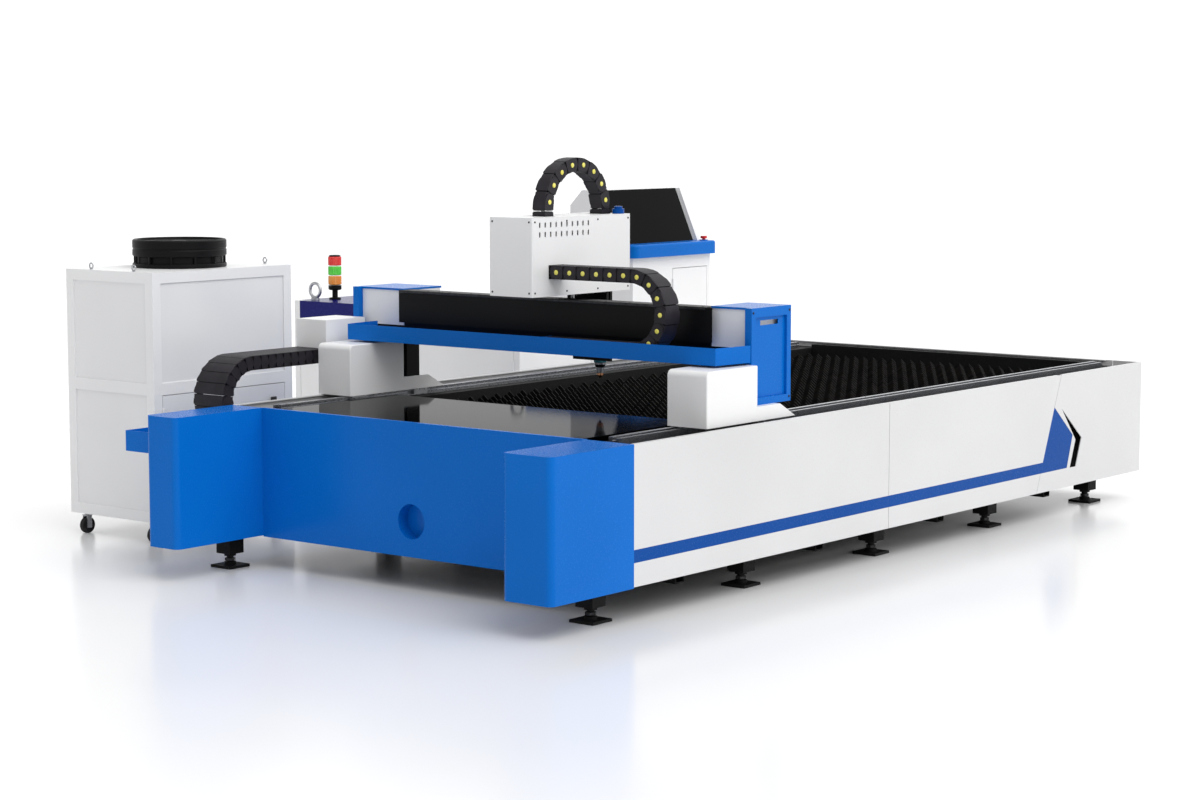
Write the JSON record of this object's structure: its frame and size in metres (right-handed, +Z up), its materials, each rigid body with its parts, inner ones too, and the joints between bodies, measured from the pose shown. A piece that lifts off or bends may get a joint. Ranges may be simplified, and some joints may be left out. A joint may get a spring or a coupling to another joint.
{
  "type": "fiber laser cutting machine",
  "caption": "Flat-bed fiber laser cutting machine: white and blue bed with travelling gantry, cutting head and drag chains, beside a chiller, a laser cabinet and a control console.",
  "frame": {"origin": "floor level, under the middle of the whole set's bounding box", "axes": "+Z up, +Y along the bed towards its rear, +X across the bed towards the side with the blue stripe"},
  "size_m": [4.429, 5.48, 1.787],
  "materials": {
    "frame_black": "matte black",
    "white_paint": "semi-gloss white",
    "blue_paint": "gloss blue",
    "navy_paint": "gloss navy",
    "rail_steel": "ground steel",
    "deck_steel": "polished sheet",
    "slat_steel": "dark, unpolished",
    "black_steel": "satin black",
    "chain_plastic": "matte dark",
    "motor_black": "dark cast",
    "head_alloy": "anodised",
    "caster_steel": "zinc plated",
    "wheel_rubber": "matte",
    "fan_black": "satin black",
    "screen_glass": "gloss black",
    "lamp_plastic": "translucent",
    "stop_red": "gloss red"
  },
  "bodies": {
    "bed": {"bed_frame": "frame_black", "levelling_feet": "frame_black", "front_panel": "blue_paint", "left_corner_box": "blue_paint", "right_corner_box": "blue_paint", "bed_panels": "white_paint", "side_stripe": "blue_paint", "guide_rails": "rail_steel", "gear_racks": "rail_steel", "slats": "slat_steel", "scrap_bins": "black_steel", "front_deck": "deck_steel", "chain_tray": "blue_paint", "bed_chain_fixed_run": "chain_plastic", "chiller_frame": "white_paint", "chiller_panels": "white_paint", "fan_shroud": "fan_black", "laser_cabinet": "white_paint", "cabinet_top": "navy_paint", "tower_light": "lamp_plastic", "lifting_eyes": "caster_steel", "console_body": "white_paint", "console_desk": "blue_paint", "monitor_hood": "white_paint", "screen": "screen_glass"},
    "gantry": {"gantry_beam": "black_steel", "beam_cover": "black_steel", "gantry_covers": "white_paint", "end_caps": "blue_paint", "chain_shelf": "blue_paint", "bearing_blocks": "rail_steel", "drive_motors": "motor_black", "beam_rails": "rail_steel", "gantry_chain_fixed_run": "chain_plastic"},
    "bed_chain_curve": {"bed_chain_bend": "chain_plastic"},
    "bed_chain_run": {"bed_chain_moving_run": "chain_plastic"},
    "drive_pinion_left": {"pinion_left": "rail_steel"},
    "drive_pinion_right": {"pinion_right": "rail_steel"},
    "carriage": {"carriage_plate": "black_steel", "head_cover": "white_paint", "carriage_motor": "motor_black", "z_chain_fixed_run": "chain_plastic"},
    "drive_pinion_carriage": {"carriage_pinion": "rail_steel"},
    "gantry_chain_curve": {"gantry_chain_bend": "chain_plastic"},
    "gantry_chain_run": {"gantry_chain_moving_run": "chain_plastic"},
    "z_head": {"z_plate": "black_steel", "cutting_head": "head_alloy"},
    "z_chain_curve": {"z_chain_bend": "chain_plastic"},
    "z_chain_run": {"z_chain_moving_run": "chain_plastic"},
    "fan": {"fan_rotor": "fan_black"},
    "chiller_door": {"chiller_door": "white_paint"},
    "caster_left": {"caster_fork_left": "caster_steel"},
    "caster_right": {"caster_fork_right": "caster_steel"},
    "front_wheel_left": {"wheel_front_left": "wheel_rubber"},
    "front_wheel_right": {"wheel_front_right": "wheel_rubber"},
    "rear_wheels": {"rear_wheels": "wheel_rubber"},
    "emergency_stop": {"emergency_stop": "stop_red"},
    "console_door": {"console_door": "white_paint"},
    "cabinet_door_left": {"cabinet_door_left": "white_paint"},
    "cabinet_door_right": {"cabinet_door_right": "white_paint"}
  },
  "joints": [
    {"name": "gantry_slide", "type": "slide", "parent": "bed", "child": "gantry", "axis": [0, 1, 0], "range_m": [-0.4, 2.6]},
    {"name": "bed_chain_bend_slide", "type": "slide", "parent": "bed", "child": "bed_chain_curve", "axis": [0, 1, 0], "range_m": [-0.202, 1.302], "deforming": ["bed_chain_fixed_run"]},
    {"name": "bed_chain_end_slide", "type": "slide", "parent": "bed_chain_curve", "child": "bed_chain_run", "axis": [0, 1, 0], "range_m": [-0.202, 1.302], "deforming": ["bed_chain_moving_run"]},
    {"name": "pinion_right_spin", "type": "hinge", "parent": "gantry", "child": "drive_pinion_right", "pos_m": [2.06425, -1.17, 0.675], "axis": [0, 0, 1], "range_deg": [-957, 6210]},
    {"name": "pinion_left_spin", "type": "hinge", "parent": "gantry", "child": "drive_pinion_left", "pos_m": [0.07675, -1.17, 0.675], "axis": [0, 0, 1], "range_deg": [-6210, 957]},
    {"name": "carriage_slide", "type": "slide", "parent": "gantry", "child": "carriage", "axis": [1, 0, 0], "range_m": [-0.75, 0.63]},
    {"name": "gantry_chain_bend_slide", "type": "slide", "parent": "gantry", "child": "gantry_chain_curve", "axis": [1, 0, 0], "range_m": [-0.377, 0.317], "deforming": ["gantry_chain_fixed_run"]},
    {"name": "gantry_chain_end_slide", "type": "slide", "parent": "gantry_chain_curve", "child": "gantry_chain_run", "axis": [1, 0, 0], "range_m": [-0.377, 0.317], "deforming": ["gantry_chain_moving_run"]},
    {"name": "carriage_pinion_spin", "type": "hinge", "parent": "carriage", "child": "drive_pinion_carriage", "pos_m": [1.0775, -1.19925, 1.135], "axis": [0, 0, 1], "range_deg": [-1507, 1793]},
    {"name": "z_slide", "type": "slide", "parent": "carriage", "child": "z_head", "axis": [0, 0, 1], "range_m": [-0.115, 0.03]},
    {"name": "z_chain_bend_slide", "type": "slide", "parent": "carriage", "child": "z_chain_curve", "axis": [0, 0, 1], "range_m": [-0.0595, 0.017], "deforming": ["z_chain_fixed_run"]},
    {"name": "z_chain_end_slide", "type": "slide", "parent": "z_chain_curve", "child": "z_chain_run", "axis": [0, 0, 1], "range_m": [-0.0595, 0.017], "deforming": ["z_chain_moving_run"]},
    {"name": "fan_spin", "type": "hinge", "parent": "bed", "child": "fan", "pos_m": [-0.943, -1.676, 1.255], "axis": [0, 0, 1], "continuous": true},
    {"name": "chiller_door_hinge", "type": "hinge", "parent": "bed", "child": "chiller_door", "pos_m": [-0.6402, -2.07, 0.345], "axis": [0, 0, -1], "range_deg": [0, 24]},
    {"name": "caster_left_swivel", "type": "hinge", "parent": "bed", "child": "caster_left", "pos_m": [-1.1785, -2.058, 0.1], "axis": [0, 0, 1], "continuous": true},
    {"name": "caster_right_swivel", "type": "hinge", "parent": "bed", "child": "caster_right", "pos_m": [-0.7075, -2.058, 0.1], "axis": [0, 0, 1], "continuous": true},
    {"name": "front_wheel_left_spin", "type": "hinge", "parent": "caster_left", "child": "front_wheel_left", "pos_m": [-1.1785, -2.076, 0.038], "axis": [1, 0, 0], "continuous": true},
    {"name": "front_wheel_right_spin", "type": "hinge", "parent": "caster_right", "child": "front_wheel_right", "pos_m": [-0.7075, -2.076, 0.038], "axis": [1, 0, 0], "continuous": true},
    {"name": "rear_wheels_spin", "type": "hinge", "parent": "bed", "child": "rear_wheels", "pos_m": [-1.1785, -1.294, 0.038], "axis": [1, 0, 0], "continuous": true},
    {"name": "emergency_stop_press", "type": "slide", "parent": "bed", "child": "emergency_stop", "axis": [0, 0, -1], "range_m": [0, 0.006], "stiffness_N_per_m": 1500},
    {"name": "console_door_hinge", "type": "hinge", "parent": "bed", "child": "console_door", "pos_m": [-0.9992, 2.33, 0.53], "axis": [0, 0, -1], "range_deg": [0, 110]},
    {"name": "cabinet_door_left_hinge", "type": "hinge", "parent": "bed", "child": "cabinet_door_left", "pos_m": [-2.1745, 0.3547, 0.3685], "axis": [0, 0, -1], "range_deg": [0, 110]},
    {"name": "cabinet_door_right_hinge", "type": "hinge", "parent": "bed", "child": "cabinet_door_right", "pos_m": [-0.5845, 0.3547, 0.3685], "axis": [0, 0, 1], "range_deg": [0, 110]}
  ],
  "couplings": [
    {"joint": "bed_chain_bend_slide", "follows": "gantry_slide", "ratio": 0.5},
    {"joint": "bed_chain_end_slide", "follows": "gantry_slide", "ratio": 0.5},
    {"joint": "pinion_right_spin", "follows": "gantry_slide", "rad_per_m": 41.667},
    {"joint": "pinion_left_spin", "follows": "gantry_slide", "rad_per_m": -41.667},
    {"joint": "gantry_chain_bend_slide", "follows": "carriage_slide", "ratio": 0.5},
    {"joint": "gantry_chain_end_slide", "follows": "carriage_slide", "ratio": 0.5},
    {"joint": "carriage_pinion_spin", "follows": "carriage_slide", "rad_per_m": -41.667},
    {"joint": "z_chain_bend_slide", "follows": "z_slide", "ratio": 0.5},
    {"joint": "z_chain_end_slide", "follows": "z_slide", "ratio": 0.5}
  ]
}
